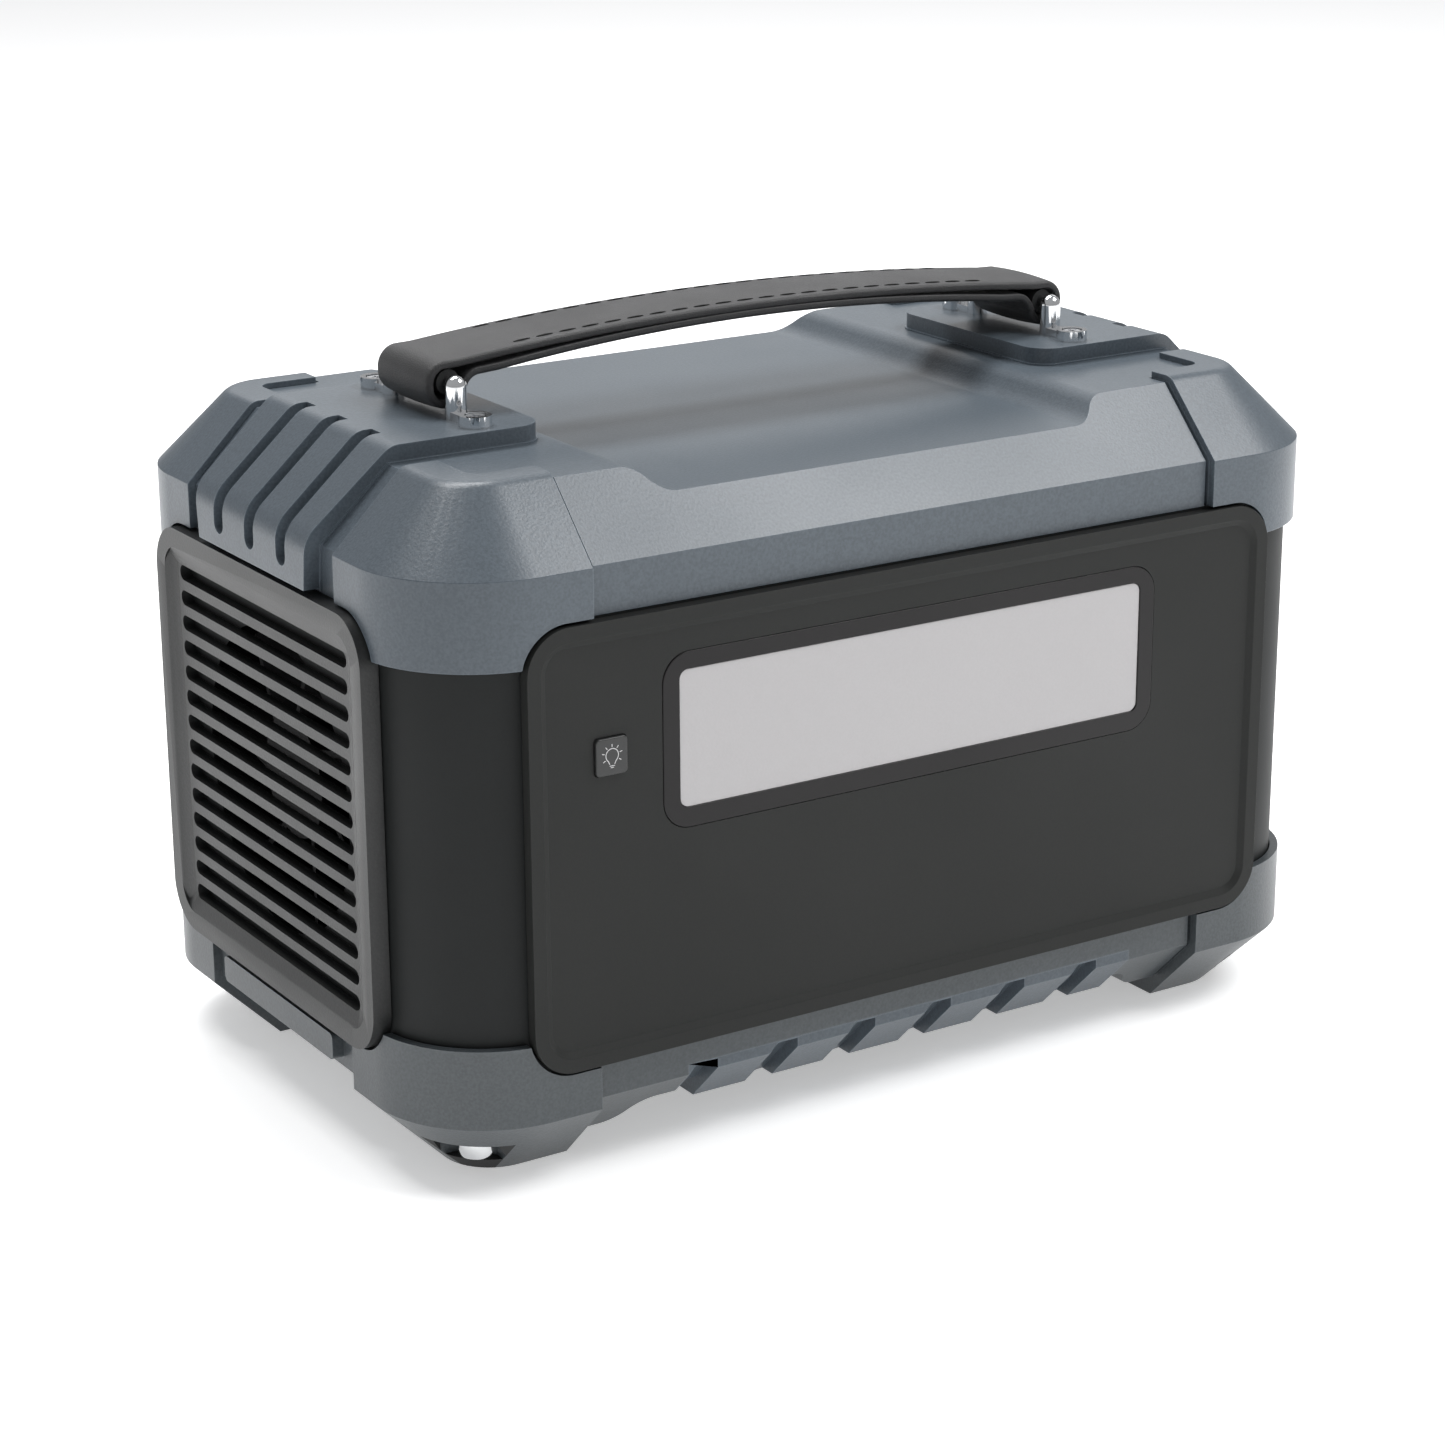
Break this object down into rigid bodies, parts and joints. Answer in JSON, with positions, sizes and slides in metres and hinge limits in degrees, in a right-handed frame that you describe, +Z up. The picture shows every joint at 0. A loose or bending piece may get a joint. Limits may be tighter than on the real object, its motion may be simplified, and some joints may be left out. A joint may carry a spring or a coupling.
{
  "type": "portable power station",
  "caption": "Portable power station with corner guards, a lamp panel, end grilles, an output panel and a stitched strap handle.",
  "frame": {"origin": "centre of the bounding box on the ground plane", "axes": "+X along the case and its handle, to the right as the lamp panel is faced; -Y the lamp panel; +Y the output panel; +Z up"},
  "size_m": [0.3026, 0.1844, 0.2105],
  "materials": {
    "shell": "fine satin texture, cool grey",
    "charcoal": "fine matt texture, charcoal",
    "rubber": "matt black rubber",
    "chrome": "polished chrome plate",
    "panel": "smooth satin, dark grey",
    "gloss_black": "gloss black",
    "diffuser": "frosted, pale grey",
    "circuit_board": "solder mask green",
    "key": "satin, dark grey",
    "steel": "nickel-plated steel",
    "strap": "grained black, stitched",
    "holder": "moulded, dark",
    "cell_sleeve": "shrink sleeve, blue",
    "heatsink": "extruded, natural",
    "winding": "enamelled copper wire"
  },
  "bodies": {
    "case": {"bottom_shell": "shell", "mid_body": "charcoal", "rear_wall": "charcoal", "top_shell": "shell", "top_guard_front_left": "shell", "top_guard_front_right": "shell", "top_guard_rear_left": "shell", "top_guard_rear_right": "shell", "bottom_guard_front_left": "shell", "bottom_guard_front_right": "shell", "bottom_guard_rear_left": "shell", "bottom_guard_rear_right": "shell", "end_saddle_left": "shell", "end_saddle_right": "shell", "front_tread_rail": "shell", "rear_tread_rail": "shell", "corner_feet": "rubber", "foot_studs": "chrome", "led_panel": "panel", "led_frame": "gloss_black", "led_window": "diffuser", "led_board": "circuit_board", "grille_left": "panel", "grille_right": "panel", "fan_frame_left": "charcoal", "fan_frame_right": "charcoal", "handle_bracket_left": "chrome", "handle_bracket_right": "chrome", "handle_bars": "rubber", "bracket_screws": "steel", "output_panel": "panel", "display_window": "gloss_black", "display_module": "circuit_board", "ac_outlets": "gloss_black", "usb_ports": "steel", "dc_outlets": "gloss_black", "car_socket": "steel", "cap_hinge_pin": "steel", "charge_inlet": "gloss_black", "panel_screws": "steel", "control_board": "circuit_board", "battery_tray": "holder", "cell_holders": "holder", "battery_cells": "cell_sleeve", "busbars": "steel", "bms_board": "circuit_board", "board_standoffs": "steel", "inverter_board": "circuit_board", "inverter_heatsinks": "heatsink", "transformer": "winding", "capacitors": "cell_sleeve", "case_screws": "steel"},
    "led_button": {"led_button": "key"},
    "power_button": {"power_button": "key"},
    "ac_button": {"ac_button": "key"},
    "dc_button": {"dc_button": "key"},
    "fan_left": {"fan_rotor_left": "charcoal"},
    "fan_right": {"fan_rotor_right": "charcoal"},
    "socket_cap": {"car_socket_cap": "rubber"},
    "strap": {"handle_strap": "strap"}
  },
  "joints": [
    {"name": "led_button_press", "type": "slide", "parent": "case", "child": "led_button", "axis": [0, 1, 0], "range_m": [0, 0.0008], "stiffness_N_per_m": 600},
    {"name": "power_button_press", "type": "slide", "parent": "case", "child": "power_button", "axis": [0, -1, 0], "range_m": [0, 0.0008], "stiffness_N_per_m": 600},
    {"name": "ac_button_press", "type": "slide", "parent": "case", "child": "ac_button", "axis": [0, -1, 0], "range_m": [0, 0.0008], "stiffness_N_per_m": 600},
    {"name": "dc_button_press", "type": "slide", "parent": "case", "child": "dc_button", "axis": [0, -1, 0], "range_m": [0, 0.0008], "stiffness_N_per_m": 600},
    {"name": "fan_left_spin", "type": "hinge", "parent": "case", "child": "fan_left", "pos_m": [-0.131, 0, 0.0932], "axis": [1, 0, 0], "continuous": true},
    {"name": "fan_right_spin", "type": "hinge", "parent": "case", "child": "fan_right", "pos_m": [0.131, 0, 0.0932], "axis": [1, 0, 0], "continuous": true},
    {"name": "socket_cap_open", "type": "hinge", "parent": "case", "child": "socket_cap", "pos_m": [0.062, 0.0905, 0.0832], "axis": [1, 0, 0], "range_deg": [0, 115]},
    {"name": "handle_lift", "type": "slide", "parent": "case", "child": "strap", "axis": [0, 0, 1], "range_m": [0, 0.0011]}
  ]
}
